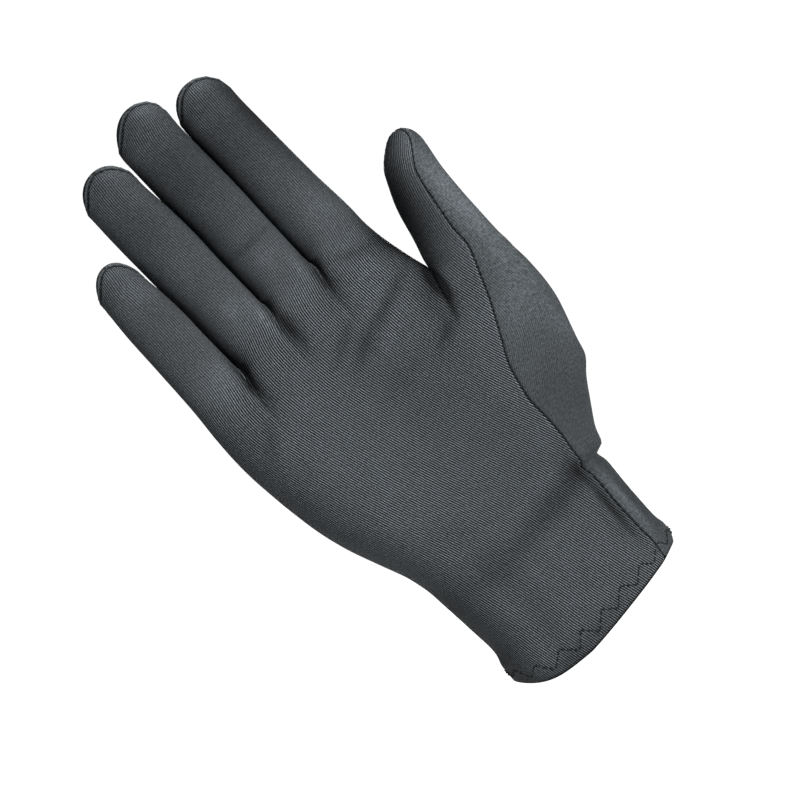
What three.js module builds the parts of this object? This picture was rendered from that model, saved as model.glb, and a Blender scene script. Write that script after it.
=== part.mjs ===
// A thin knitted glove liner for the right hand, in millimetres.
// +Z runs from the wrist opening to the fingertips, the palm faces -Y and the thumb is on the +X side.
// The origin is the middle of the wrist opening, level with the lowest point of the hem.
// The glove is sewn from a palm panel and a back panel, and its wrist edge is turned in as a hem.
// Both panels are walls of cloth on one hollow skin, filled out as they are on a hand.
import * as THREE from "three";

// Rows of values as objects with named columns.
const table = (names, rows) => rows.map((row) => Object.fromEntries(names.map((name, i) => [name, row[i]])));

// Cloth
const wall = 1.0;
const seamGap = 0.3;

// Cuff. The hem rises from its lowest point to both sides and to the back.
const cuffWidth = 73.6;
const cuffDepth = 44;
const cuffOffset = 1.3;
const hemHeight = 9.5;
const hemRiseLittle = 8;
const hemRiseThumb = 8.5;
const hemRiseBack = 7;
const hemBlend = 22;
const hemLowest = 0.36;

// Palm. The webs of the little finger and the thumb lie below those of the other fingers.
const palmLength = 161.5;
const palmDepth = 30;
const littleWebDrop = 11;
const thumbWebDrop = 29;
const thumbWebReach = 6.4;
const palmOffset = 14.8;
const stepFrom = 0.2965;
const stepTo = 0.3057;

// The middle finger: its length above its web, its width and depth at its base and the length of its
// rounded tip. The other digits are shares of it.
const fingerLength = 78;
const fingerWidth = 21.4;
const fingerDepth = 19.6;
const tipLength = 11.5;

// Digits, as shares of the middle finger's length, width, depth and tip. seamLeft and seamRight say how
// far the seam comes forward on the left and on the right of the tip, as shares of half a turn, and
// lean is the slope at which the back of the tip stands over its front.
const digitShares = table(
  ["name", "length", "width", "depth", "tip", "seamLeft", "seamRight", "lean"],
  [
    ["little", 0.685, 0.916, 0.847, 0.783, 0.16, 0.93, 0.65],
    ["ring", 0.888, 0.963, 0.959, 0.913, 0.18, 0.93, 0.65],
    ["middle", 1, 1, 1, 1, 0.29, 1, 0.65],
    ["index", 0.917, 1.131, 0.99, 1, 0.29, 1, 0.65],
    ["thumb", 0.538, 1.178, 1.173, 0.826, 0, 0.95, 0],
  ],
);
const digits = digitShares.map((share) => ({
  ...share,
  length: share.length * fingerLength,
  width: share.width * fingerWidth,
  depth: share.depth * fingerDepth,
  tip: share.tip * tipLength,
}));
const seamRise = 26;
const seamRiseEnd = 9;
const fingerGap = 0.7;

// Mesh
const columnsPerDigit = 7;
const tipRows = 4;
const rowSpacing = 7.5;
const closestRows = 0.4;
const columnBlend = 26;

// The palm at heights that are shares of palmLength.
// little and thumb say how far each edge has spread from the cuff, 0, to the base of its digit, 1.
// The front and back columns are shares of the half depth, below the little finger's web, below the
// middle finger and below the thumb's web. edge columns are the depth at which front and back meet on
// each side, as shares of palmDepth. seam is the place of the long seam across the thumb's part.
const palmRows = table(
  [
    "at", "little", "thumb", "frontLittle", "frontMiddle", "frontThumb",
    "backLittle", "backMiddle", "backThumb", "edgeLittle", "edgeThumb", "seam",
  ],
  [
    [0, 0, 0, 0.9, 1, 0.95, 0.9, 1, 0.95, 0, 0, 0.67],
    [0.066, -0.01, 0, 0.89, 0.99, 0.94, 0.89, 0.99, 0.94, 0, 0, 0.68],
    [0.122, -0.06, -0.04, 0.87, 0.97, 0.92, 0.87, 0.97, 0.91, 0, 0, 0.68],
    [0.193, -0.01, -0.045, 0.86, 0.95, 0.91, 0.85, 0.93, 0.88, 0, 0, 0.66],
    [0.273, 0.06, -0.03, 0.92, 1.01, 0.97, 0.9, 0.98, 0.9, -0.01, -0.02, 0.64],
    [stepFrom, 0.08, -0.07, 0.98, 1.07, 1.03, 0.93, 1.02, 0.9, -0.02, -0.03, 0.63],
    [stepTo, 0.09, 0.085, 1.01, 1.1, 1.07, 0.94, 1.03, 0.91, -0.02, -0.04, 0.57],
    [0.339, 0.15, 0.17, 1.12, 1.2, 1.2, 0.99, 1.09, 0.92, -0.04, -0.08, 0.51],
    [0.364, 0.21, 0.27, 1.2, 1.28, 1.32, 1.02, 1.13, 0.93, -0.05, -0.11, 0.47],
    [0.425, 0.41, 0.54, 1.35, 1.35, 1.6, 1, 1.13, 0.86, -0.07, -0.21, 0.35],
    [0.485, 0.6, 0.79, 1.4, 1.34, 1.83, 0.97, 1.12, 0.76, -0.08, -0.3, 0.25],
    [0.548, 0.75, 0.94, 1.38, 1.29, 1.98, 0.94, 1.09, 0.66, -0.1, -0.38, 0.24],
    [0.609, 0.85, 1.05, 1.32, 1.21, 2.03, 0.92, 1.06, 0.56, -0.1, -0.45, 0.3],
    [0.672, 0.93, 1.08, 1.25, 1.13, 1.97, 0.89, 1.03, 0.46, -0.1, -0.5, 0.39],
    [0.746, 1, 1.04, 1.18, 1.07, 1.8, 0.87, 1, 0.36, -0.1, -0.55, 0.5],
    [0.82, 1.02, 1, 1.13, 1.04, 1.5, 0.84, 0.97, 0.4, -0.1, -0.6, 0.61],
    [0.932, 1.01, 1, 1.08, 1.02, 1.1, 0.8, 0.94, 0.7, -0.1, -0.6, 0.61],
    [1, 1.01, 1, 1.06, 1, 1, 0.79, 0.92, 0.8, -0.1, -0.6, 0.61],
  ],
);
const wristNarrowing = { from: 0.172, to: 0.354 };

// The webs between neighbouring digits. cuff is the place across the cuff of the line below the web.
// groove, the height of the valley under it, plunge, the height of the valley's steep end, and settle,
// the height in which the sides above it reach the middle of their digits, are shares of palmLength.
// valley is the valley's depth below its steep end, depth the web's own depth as a share of palmDepth,
// slant how far the two digits lie over each other, and overlap the height up to which they do, as a
// share of fingerLength.
const webs = table(
  ["height", "cuff", "groove", "plunge", "valley", "depth", "settle", "slant", "overlap"],
  [
    [palmLength - littleWebDrop, 0.2, 0.21, 0.056, 0.4, -0.08, 0.087, 0.3, 0.69],
    [palmLength, 0.39, 0.21, 0.056, 0.4, -0.04, 0.087, 0.36, 0.615],
    [palmLength, 0.57, 0.21, 0.056, 0.4, 0, 0.087, 0.36, 0.845],
    [palmLength - thumbWebDrop, 0.7, 0.186, 0.056, 0.25, -0.3, 0.161, 0, 0.256],
  ],
).map((web) => ({
  ...web,
  groove: web.groove * palmLength,
  plunge: web.plunge * palmLength,
  settle: web.settle * palmLength,
  overlap: web.overlap * fingerLength,
}));
const webWidening = 6;

// Each digit from its web, 0, to its tip, 1: shift of its middle and width as shares of its width,
// depth as a share of its depth, and how far it lies behind (or before) the palm's middle plane, as a
// share of palmDepth.
const digitColumns = ["at", "shift", "width", "depth", "bend"];
const digitRows = {
  little: table(digitColumns, [
    [0, 0, 1, 1, -0.1],
    [0.3, -0.03, 0.955, 1, -0.12],
    [0.6, -0.055, 0.92, 0.96, -0.18],
    [0.85, -0.06, 0.84, 0.88, -0.27],
    [1, -0.02, 0.79, 0.8, -0.33],
  ]),
  ring: table(digitColumns, [
    [0, 0, 1, 1, -0.04],
    [0.3, -0.06, 1.02, 0.99, -0.05],
    [0.6, -0.1, 1.05, 0.94, -0.09],
    [0.85, -0.14, 1.02, 0.86, -0.16],
    [1, -0.12, 1, 0.78, -0.22],
  ]),
  middle: table(digitColumns, [
    [0, 0, 1, 1, 0],
    [0.3, -0.03, 1, 0.98, -0.01],
    [0.6, -0.06, 1.05, 0.93, -0.03],
    [0.85, -0.09, 1.05, 0.86, -0.09],
    [1, -0.02, 1, 0.78, -0.14],
  ]),
  index: table(digitColumns, [
    [0, 0, 1, 1, 0.05],
    [0.3, -0.05, 0.95, 0.97, 0.05],
    [0.6, -0.09, 0.91, 0.92, 0.03],
    [0.85, -0.12, 0.89, 0.85, -0.02],
    [1, -0.12, 0.86, 0.78, -0.07],
  ]),
  thumb: table(digitColumns, [
    [0, 0, 1, 1, -0.6],
    [0.3, 0.04, 0.9, 0.94, -0.66],
    [0.55, 0.09, 0.82, 0.88, -0.72],
    [0.8, 0.2, 0.7, 0.78, -0.78],
    [1, 0.3, 0.56, 0.66, -0.82],
  ]),
};

// Folds pressed into the cloth: place and half size across the hand as shares of cuffWidth, place and
// half size up it as shares of palmLength, depth below the skin in walls of cloth, and turn in degrees.
const folds = table(
  ["name", "x", "z", "depth", "across", "along", "turn", "onBack"],
  [
    ["wrist hollow", 0.2, 0.294, 0.9, 0.46, 0.05, 3, false],
    ["valley beside the seam", 0.37, 0.213, 0.9, 0.04, 0.11, 0, false],
    ["corner of the thumb's base", 0.75, 0.471, -1, 0.095, 0.025, 0, true],
  ],
);

const mix = (a, b, t) => a + (b - a) * t;
const clamp01 = (t) => Math.min(1, Math.max(0, t));
const smooth = (a, b, t) => {
  const s = clamp01((t - a) / (b - a));
  return s * s * (3 - 2 * s);
};
const squircle = (x, power) => Math.pow(Math.max(0, 1 - Math.pow(Math.abs(x), power)), 1 / power);

// A column of a table at t, on a smooth curve through its rows that never overshoots them.
function column(rows, name, t) {
  const x = rows.map((r) => r.at);
  const y = rows.map((r) => r[name]);
  const end = rows.length - 1;
  if (t <= x[0]) return y[0];
  if (t >= x[end]) return y[end];
  const slope = (i) => {
    if (i === 0 || i === end) return 0;
    const before = (y[i] - y[i - 1]) / (x[i] - x[i - 1]);
    const after = (y[i + 1] - y[i]) / (x[i + 1] - x[i]);
    if (before * after <= 0) return 0;
    const even = (y[i + 1] - y[i - 1]) / (x[i + 1] - x[i - 1]);
    return Math.sign(even) * Math.min(Math.abs(even), 3 * Math.abs(before), 3 * Math.abs(after));
  };
  const i = x.findIndex((_, n) => t < x[n + 1]);
  const h = x[i + 1] - x[i];
  const s = (t - x[i]) / h;
  const rise = s * s * (3 - 2 * s);
  return mix(y[i], y[i + 1], rise) + h * s * (1 - s) * ((1 - s) * slope(i) - s * slope(i + 1));
}

// Sides of the digits' bases across the hand, from the little finger's outer side to the thumb's.
const THUMB = digits.length - 1;
const INDEX = THUMB - 1;
const fingers = digits.slice(0, THUMB);
const knuckles = [-palmOffset - fingers.reduce((sum, d) => sum + d.width, 0) / 2];
for (const d of fingers) knuckles.push(knuckles[knuckles.length - 1] + d.width);
const indexEdge = knuckles[THUMB];
knuckles[THUMB] += thumbWebReach;
knuckles.push(knuckles[THUMB] + digits[THUMB].width);
const cuffLeft = cuffOffset - cuffWidth / 2;
const cuffRight = cuffOffset + cuffWidth / 2;
const littleWeb = webs[0];
const thumbWeb = webs[INDEX];

const palm = (name, z) => column(palmRows, name, z / palmLength);
const leftEdge = (z) => mix(cuffLeft, knuckles[0], palm("little", z));
const rightEdge = (z) => mix(cuffRight, knuckles[THUMB + 1], palm("thumb", z));
const halfDepth = (z) =>
  mix(cuffDepth, palmDepth, smooth(wristNarrowing.from, wristNarrowing.to, z / palmLength)) / 2;

// The webs on a digit's left and right, where it has one.
const webLeft = (k) => (k > 0 ? webs[k - 1] : null);
const webRight = (k) => (k < THUMB ? webs[k] : null);

// How far a digit has parted from its neighbour at height z: 0 in the palm and 1 well above the web.
// share is the distance from the web's line, as a share of the digit's width. Close to the line a soft
// valley runs up the palm and then plunges between the two digits.
function parted(web, z, share) {
  const valley = smooth(web.height - web.groove, web.height, z);
  const t = clamp01((z - web.height + web.plunge) / web.plunge);
  const line = mix(web.valley * valley, 1, 1 - Math.sqrt(1 - t * t));
  const body = smooth(web.height - web.groove, web.height + web.plunge, z);
  return mix(line, body, smooth(0, 0.5, share));
}

// How far the columns are bunched towards a side: fully at a free side, and from the web upwards.
const bunched = (web, z) => (web ? smooth(web.height - columnBlend, web.height, z) : 1);

// The line up the hand below web k. The thumb's line bows towards the palm.
function webLine(k, z) {
  const rise = z / webs[k].height;
  const spread = webs[k] === thumbWeb ? rise * rise : palm("little", z);
  return mix(cuffLeft + webs[k].cuff * cuffWidth, knuckles[k + 1], Math.min(1, spread));
}

// Heights at which a digit's own rows begin, above both webs, and at which its table begins and ends.
const ownRowsFrom = digits.map((_, k) => Math.max(webLeft(k)?.height ?? 0, webRight(k)?.height ?? 0));
const digitFrom = digits.map((_, k) => (k === 0 || k === THUMB ? ownRowsFrom[k] : palmLength));
const digitTo = digits.map((d, k) => digitFrom[k] + d.length);

// A digit's section at height z: its two sides, the depth of its middle, its half depth and its form.
function digitSection(k, z) {
  const d = digits[k];
  const rows = digitRows[d.name];
  const t = clamp01((z - digitFrom[k]) / d.length);
  const cap = squircle(clamp01((z - digitTo[k] + d.tip) / d.tip), 2.2);
  const middle = knuckles[k] + d.width * (0.5 + column(rows, "shift", t));
  const halfWidth = (cap * d.width * column(rows, "width", t)) / 2;
  return {
    left: middle - halfWidth,
    right: middle + halfWidth,
    y: palmDepth * column(rows, "bend", t),
    depth: (cap * d.depth * column(rows, "depth", t)) / 2,
    power: mix(2.7, 2.15, smooth(0.3, 0.9, t)),
  };
}

// The two sides of digit k across the hand at height z.
function sides(k, z, own) {
  const above = (web, mine, sign) => {
    if (z <= web.height) return webLine(webs.indexOf(web), z);
    const apart = clamp01((z - web.height) / webWidening);
    return mix(knuckles[webs.indexOf(web) + 1], mine + (sign * fingerGap) / 2, apart);
  };
  const left =
    k === 0
      ? mix(leftEdge(z), own.left, smooth(littleWeb.height - littleWeb.settle, littleWeb.height, z))
      : above(webs[k - 1], own.left, 1);
  if (k === THUMB) return [left, z < thumbWeb.height ? rightEdge(z) : own.right];
  if (k === INDEX && z > thumbWeb.height) {
    const t = clamp01((z - thumbWeb.height) / thumbWebDrop);
    return [left, (z < palmLength ? indexEdge : own.right) + thumbWebReach * Math.pow(1 - t, 1.5)];
  }
  return [left, above(webs[k], own.right, -1)];
}

// Where a column lies between a digit's two sides. tau runs from 0 to 1 and bunches at free sides.
function across(tau, freeLeft, freeRight) {
  const quarter = (Math.PI / 2) * tau;
  return (
    (1 - freeLeft) * (1 - freeRight) * tau +
    freeLeft * (1 - freeRight) * (1 - Math.cos(quarter)) +
    (1 - freeLeft) * freeRight * Math.sin(quarter) +
    (freeLeft * freeRight * (1 - Math.cos(2 * quarter))) / 2
  );
}

// The depth of the palm's front or back below digit k, at a share u of its width.
function palmSkin(k, u, z, isFront) {
  const face = isFront ? "front" : "back";
  const at = (place) => (isFront ? -1 : 1) * palm(face + place, z) * halfDepth(z);
  if (k === 0) return mix(palmDepth * palm("edgeLittle", z), at("Little"), squircle(1 - u, 2.1));
  if (k === THUMB) return mix(palmDepth * palm("edgeThumb", z), at("Thumb"), squircle(u, 2.1));
  if (k === INDEX) return mix(at("Middle"), at("Thumb"), smooth(0, 1, u));
  return k === 1 ? mix(at("Little"), at("Middle"), smooth(0, 1, u)) : at("Middle");
}

// The depth at which the front and the back meet at a digit's side.
function sideDepth(k, web, z, own) {
  if (web) return mix(palmDepth * web.depth, own.y, smooth(0, web.settle, z - web.height));
  if (k === THUMB) return z < thumbWeb.height ? palmDepth * palm("edgeThumb", z) : own.y;
  return mix(palmDepth * palm("edgeLittle", z), own.y, smooth(0.8, 1, z / littleWeb.height));
}

// How much the digits beside a web lie over each other there.
function slantAt(web, z) {
  if (!web) return 0;
  const begins = smooth(web.height - web.groove / 2, web.height + webWidening, z);
  return web.slant * begins * (1 - smooth(web.height + 0.4 * web.overlap, web.height + web.overlap, z));
}

// A point of the skin on digit k or below it: tau across it, on the front or the back, at height z.
function skin(k, tau, front, z) {
  const [webL, webR] = [webLeft(k), webRight(k)];
  const isFront = front !== (tau < 0 || tau > 1);
  const u = clamp01(across(tau, bunched(webL, z), bunched(webR, z)));
  const own = digitSection(k, z);
  const [left, right] = sides(k, z, own);
  const openLeft = parted(webL ?? webR, z, webL ? u : 1 - u);
  const openRight = parted(webR ?? webL, z, webR ? 1 - u : u);
  const middle = mix(sideDepth(k, webL, z, own), sideDepth(k, webR, z, own), u);
  const round = middle + (isFront ? -1 : 1) * own.depth * squircle(2 * u - 1, own.power);
  const y = mix(palmSkin(k, u, z, isFront), round, mix(openLeft, openRight, smooth(0, 1, u)));
  const x = mix(left, right, u) - mix(slantAt(webL, z), slantAt(webR, z), u) * y;
  const lean = digits[k].lean * smooth(digitTo[k] - 2 * digits[k].tip, digitTo[k], z);
  return new THREE.Vector3(x, y, z + lean * (y - own.y));
}

// The hem dips on the palm side, and rises towards both edges and the back.
function liftHem(p) {
  const lowest = mix(cuffLeft, cuffRight, hemLowest);
  const little = hemRiseLittle * Math.pow(clamp01((p.x - lowest) / (cuffLeft - lowest)), 3.4);
  const thumb = hemRiseThumb * Math.pow(clamp01((p.x - lowest) / (cuffRight - lowest)), 1.2);
  const rise = mix(little + thumb, hemRiseBack, smooth(-0.1, 0.4, p.y / cuffDepth));
  p.z += rise * (1 - smooth(0, hemBlend, p.z));
}

// The place of the seam on a free side of digit k: tau on the front where the two panels meet.
// Below the little finger it lies just behind the outer edge. Below the thumb it crosses the front.
const seamBehind = -0.06;
function seamShift(k, z, onRight) {
  const d = digits[k];
  const rise = smooth(digitTo[k] - seamRise, digitTo[k] - seamRiseEnd, z);
  if (k === 0 && !onRight) return mix(seamBehind, d.seamLeft, rise);
  if (k !== THUMB) return onRight ? mix(1, d.seamRight, rise) : mix(0, d.seamLeft, rise);
  if (!onRight) return 0;
  const below = palm("seam", Math.min(z, thumbWeb.height));
  const share = z < thumbWeb.height ? below : mix(below, d.seamRight, rise);
  const freeLeft = bunched(thumbWeb, z);
  let low = 0;
  let high = 1;
  for (let i = 0; i < 24; i++) {
    const tau = (low + high) / 2;
    if (across(tau, freeLeft, 1) < share) low = tau;
    else high = tau;
  }
  return low;
}

// Heights of the rows that all digits share: even ones between the hem, the step at the wrist and the webs.
function sharedHeights() {
  const stops = [0, hemHeight, stepFrom * palmLength, stepTo * palmLength, ...webs.map((w) => w.height)];
  for (const web of webs)
    for (const share of [0.1, 0.35]) {
      const z = web.height - share * web.plunge;
      if (stops.every((stop) => Math.abs(stop - z) > closestRows)) stops.push(z);
    }
  stops.sort((a, b) => a - b);
  const out = [stops[0]];
  for (const stop of new Set(stops.slice(1))) out.push(...evenRows(out[out.length - 1], stop, rowSpacing));
  return out;
}

// Even rows after one height up to another.
function evenRows(from, to, spacing) {
  const steps = Math.max(1, Math.round((to - from) / spacing));
  return Array.from({ length: steps }, (_, i) => mix(from, to, (i + 1) / steps));
}

// Heights of all rows of digit k: the shared ones up to its webs, then its own up to its tip.
function digitHeights(k, shared) {
  const [from, to, tip] = [ownRowsFrom[k], digitTo[k], digits[k].tip];
  const own = shared.filter((z) => z <= from);
  own.push(from + webWidening / 4, ...evenRows(from + webWidening / 4, from + webWidening, webWidening));
  own.push(...evenRows(from + webWidening, to - tip, 1.2 * rowSpacing));
  for (let i = 1; i <= tipRows; i++) own.push(to - tip + tip * Math.sin((Math.PI / 2) * (i / tipRows)));
  return own;
}
const shared = sharedHeights();
const heights = digits.map((_, k) => digitHeights(k, shared));

// A name for each vertex, the same wherever two digits, or the front and the back, share it.
function vertexKey(k, j, front, row) {
  const z = heights[k][row];
  if (row === heights[k].length - 1) return "tip " + k;
  if (j === 0 && k > 0 && z <= webs[k - 1].height) return vertexKey(k - 1, columnsPerDigit, front, row);
  const atRight = j === columnsPerDigit && (k === THUMB || z >= webs[k].height);
  return [k, j, j === 0 || atRight || front, row].join(" ");
}

// The whole skin: its vertices, and its four-sided faces with the panel and row of each.
function makeSkin() {
  const vertices = new Map();
  const faces = [];
  const vertex = (k, j, front, row) => {
    const key = vertexKey(k, j, front, row);
    if (vertices.has(key)) return key;
    const z = heights[k][row];
    const left = k === 0 || z > webs[k - 1].height ? seamShift(k, z, false) : 0;
    const right = k === THUMB || z > webs[k].height ? seamShift(k, z, true) : 1;
    const share = j / columnsPerDigit;
    const tau = front ? mix(left, right, share) : mix(-left, 2 - right, share);
    vertices.set(key, skin(k, tau, front, z));
    return key;
  };
  for (let k = 0; k <= THUMB; k++)
    for (const front of [true, false])
      for (let row = 0; row < heights[k].length - 1; row++)
        for (let j = 0; j < columnsPerDigit; j++) {
          const loop = [[j, row], [j + 1, row], [j + 1, row + 1], [j, row + 1]].map(([column, level]) =>
            vertex(k, column, front, level),
          );
          if (!front) loop.reverse();
          faces.push({ front, row, loop: [...new Set(loop)] });
        }
  return { vertices, faces };
}

// Three-sided faces of a patch of three- and four-sided ones.
function triangles(loops) {
  return loops.flatMap(([a, b, c, d]) => (d ? [[a, b, c], [a, c, d]] : [[a, b, c]]));
}

function normalsOf(points, loops) {
  const normals = new Map([...points.keys()].map((key) => [key, new THREE.Vector3()]));
  for (const [a, b, c] of triangles(loops)) {
    const ab = points.get(b).clone().sub(points.get(a));
    const ac = points.get(c).clone().sub(points.get(a));
    const n = ab.cross(ac);
    for (const key of [a, b, c]) normals.get(key).add(n);
  }
  for (const n of normals.values()) n.normalize();
  return normals;
}

// Presses the folds into the skin.
function pressFolds(points, normals) {
  for (const [key, p] of points)
    for (const fold of folds) {
      if (!fold.onBack && p.y > 0) continue;
      const turn = THREE.MathUtils.degToRad(fold.turn);
      const dx = p.x - fold.x * cuffWidth;
      const dz = p.z - fold.z * palmLength;
      const a = (dx * Math.cos(turn) + dz * Math.sin(turn)) / (fold.across * cuffWidth);
      const b = (dz * Math.cos(turn) - dx * Math.sin(turn)) / (fold.along * palmLength);
      p.addScaledVector(normals.get(key), -fold.depth * wall * Math.exp(-a * a - b * b));
    }
}

const { vertices, faces } = makeSkin();
const allLoops = faces.map((f) => f.loop);
pressFolds(vertices, normalsOf(vertices, allLoops));
for (const p of vertices.values()) liftHem(p);
const normals = normalsOf(vertices, allLoops);

// A closed wall between two copies of a patch of the skin, one at each depth below it.
function wallMesh(loops, points, outer, inner) {
  const keys = [...new Set(loops.flat())];
  const number = new Map(keys.map((key, i) => [key, i]));
  const position = [];
  for (const depth of [outer, inner])
    for (const key of keys) {
      const p = points.get(key).clone().addScaledVector(normals.get(key), -depth);
      position.push(p.x, p.y, p.z);
    }
  const index = [];
  const edges = new Map();
  for (const tri of triangles(loops)) {
    const [a, b, c] = tri.map((key) => number.get(key));
    index.push(a, b, c, c + keys.length, b + keys.length, a + keys.length);
    for (const [s, e] of [[a, b], [b, c], [c, a]]) edges.set(s + " " + e, [s, e]);
  }
  for (const [s, e] of edges.values())
    if (!edges.has(e + " " + s)) index.push(e, s, s + keys.length, e, s + keys.length, e + keys.length);
  const geometry = new THREE.BufferGeometry();
  geometry.setAttribute("position", new THREE.Float32BufferAttribute(position, 3));
  geometry.setIndex(index);
  geometry.computeVertexNormals();
  return geometry;
}

// A panel: the front or the back of the skin, drawn back from the seam by half the gap.
function panel(front) {
  const loops = faces.filter((f) => f.front === front).map((f) => f.loop);
  const others = new Set(faces.filter((f) => f.front !== front).flatMap((f) => f.loop));
  const inward = new Map();
  for (const loop of loops)
    for (const key of loop.filter((v) => others.has(v))) {
      const sum = inward.get(key) ?? new THREE.Vector3();
      for (const v of loop.filter((w) => !others.has(w)))
        sum.add(vertices.get(v).clone().sub(vertices.get(key)).normalize());
      inward.set(key, sum);
    }
  const points = new Map(vertices);
  for (const [key, step] of inward) {
    const normal = normals.get(key);
    const along = step.addScaledVector(normal, -step.dot(normal)).normalize();
    points.set(key, vertices.get(key).clone().addScaledVector(along, seamGap / 2));
  }
  return wallMesh(loops, points, 0, wall);
}

// The turned-in hem: a ring of cloth inside the cuff, as high as the turning.
function hem() {
  const loops = faces.filter((f) => heights[0][f.row + 1] <= hemHeight).map((f) => f.loop);
  return wallMesh(loops, vertices, wall + seamGap, 2 * wall + seamGap);
}

const cloth = (color) => new THREE.MeshStandardMaterial({ color, roughness: 0.85, metalness: 0 });
const palmCloth = cloth(0x464c4f);
const backCloth = cloth(0x4c5255);

const glove = new THREE.Group();
function addPiece(name, geometry, material) {
  const mesh = new THREE.Mesh(geometry, material);
  mesh.name = name;
  glove.add(mesh);
}
addPiece("palm_panel", panel(true), palmCloth);
addPiece("back_panel", panel(false), backCloth);
addPiece("cuff_hem", hem(), palmCloth);

export default glove;
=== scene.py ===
import math

import bpy
import numpy as np
from mathutils import Matrix, Vector
from bpy.props import FloatProperty, FloatVectorProperty, IntProperty, PointerProperty


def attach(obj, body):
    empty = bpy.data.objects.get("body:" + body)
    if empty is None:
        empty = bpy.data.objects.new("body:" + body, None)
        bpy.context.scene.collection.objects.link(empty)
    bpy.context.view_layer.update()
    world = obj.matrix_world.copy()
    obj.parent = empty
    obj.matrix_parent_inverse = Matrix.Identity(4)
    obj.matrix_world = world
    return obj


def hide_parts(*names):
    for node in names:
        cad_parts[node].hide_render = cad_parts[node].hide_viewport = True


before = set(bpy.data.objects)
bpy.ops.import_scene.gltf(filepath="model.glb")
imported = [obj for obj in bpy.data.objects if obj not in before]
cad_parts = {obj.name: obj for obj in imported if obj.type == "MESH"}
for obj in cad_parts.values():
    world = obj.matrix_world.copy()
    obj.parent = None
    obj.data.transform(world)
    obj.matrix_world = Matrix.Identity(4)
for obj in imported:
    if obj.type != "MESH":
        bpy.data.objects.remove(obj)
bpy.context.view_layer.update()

bl_info = {
    "name": "Knitted glove liner",
    "version": (1, 0, 0),
    "blender": (4, 5, 0),
    "location": "3D View > Sidebar > Glove liner",
    "description": "Models a thin knitted glove liner with its cloth panels, hem and stitches",
    "category": "Object",
}

MM = 0.001


# Sizes and colours

def length_prop(name, description, default):
    return FloatProperty(name=name, description=description, default=default, unit="LENGTH", precision=5)


def colour_prop(name, description, default):
    return FloatVectorProperty(
        name=name, description=description, default=default, subtype="COLOR", size=3, min=0, max=1)


class GloveSizes(bpy.types.PropertyGroup):
    """Sizes of the glove's skin, as its maker would measure them."""
    cuff_width: length_prop("Cuff width", "Width of the wrist opening", 0.0736)
    cuff_depth: length_prop("Cuff depth", "Depth of the wrist opening", 0.044)
    palm_length: length_prop("Palm length", "Height of the webs between the middle fingers", 0.1615)
    palm_depth: length_prop("Palm depth", "Depth of the palm below the fingers", 0.030)
    finger_length: length_prop("Finger length", "Length of the middle finger above its web", 0.078)
    finger_width: length_prop("Finger width", "Width of the middle finger at its base", 0.0214)
    finger_depth: length_prop("Finger depth", "Depth of the middle finger at its base", 0.0196)
    tip_length: length_prop("Tip length", "Length of the middle finger's rounded tip", 0.0115)
    hem_height: length_prop("Hem height", "Height of the turning inside the cuff", 0.0095)
    cloth_thickness: length_prop("Cloth thickness", "Thickness of the knitted cloth", 0.0007)


class GloveCloth(bpy.types.PropertyGroup):
    """Colours and grain of the two cloths and the thread."""
    palm_colour: colour_prop("Palm colour", "Colour of the palm's jersey", (0.264, 0.292, 0.316))
    back_colour: colour_prop("Back colour", "Colour of the back's cloth", (0.098, 0.110, 0.119))
    gap_colour: colour_prop("Gap colour", "Colour of the gaps between the loops", (0.003, 0.0035, 0.004))
    thread_colour: colour_prop("Thread colour", "Colour of the sewing thread", (0.004, 0.0045, 0.005))
    wale_spacing: length_prop("Wale spacing", "Distance between two columns of loops", 0.00081)
    course_height: length_prop("Course height", "Height of one row of loops", 0.00062)


class GloveStitches(bpy.types.PropertyGroup):
    """Sizes of the sewing."""
    seam_stitch: length_prop("Seam stitch", "Length of one stitch of the seams", 0.0022)
    thread: length_prop("Thread", "Thickness of the thread", 0.0005)
    zigzag_width: length_prop("Zigzag width", "Height of the hem's zigzag", 0.005)
    zigzag_leg: length_prop("Zigzag leg", "Length along the hem of one leg of the zigzag", 0.005)
    zigzag_steps: IntProperty(
        name="Zigzag steps", description="Stitches in one leg of the zigzag", default=3, min=1)


class GloveStage(bpy.types.PropertyGroup):
    """The floor and the light."""
    floor_size: length_prop("Floor size", "Length of the floor's sides", 6.0)
    floor_colour: colour_prop("Floor colour", "Colour of the floor", (0.93, 0.93, 0.93))
    light: FloatProperty(name="Light", description="Strength of the lamps", default=1.0, min=0)


# The skin. Its tables are shares of the sizes above, so one change of a size carries through it.

def table(names, rows):
    """Rows of values with named columns. Values left out at the end of a row are 0."""
    return [dict(zip(names, (*row, *[0] * (len(names) - len(row))))) for row in rows]


DIGITS = table((
    "name", "length", "width", "depth", "tip", "seam_left", "seam_right", "lean"), (
    ("little", 0.685, 0.916, 0.847, 0.783, 0.13, 0.93, 0.65),
    ("ring", 0.888, 0.963, 0.959, 0.913, 0.14, 0.93, 0.65),
    ("middle", 1.0, 1.0, 1.0, 1.0, 0.14, 1.0, 0.65),
    ("index", 0.917, 1.131, 0.99, 1.0, 0.14, 1.0, 0.65),
    ("thumb", 0.538, 1.178, 1.173, 0.826, 0.0, 0.86, 0.0),
))
THUMB = len(DIGITS) - 1
INDEX = THUMB - 1

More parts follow.
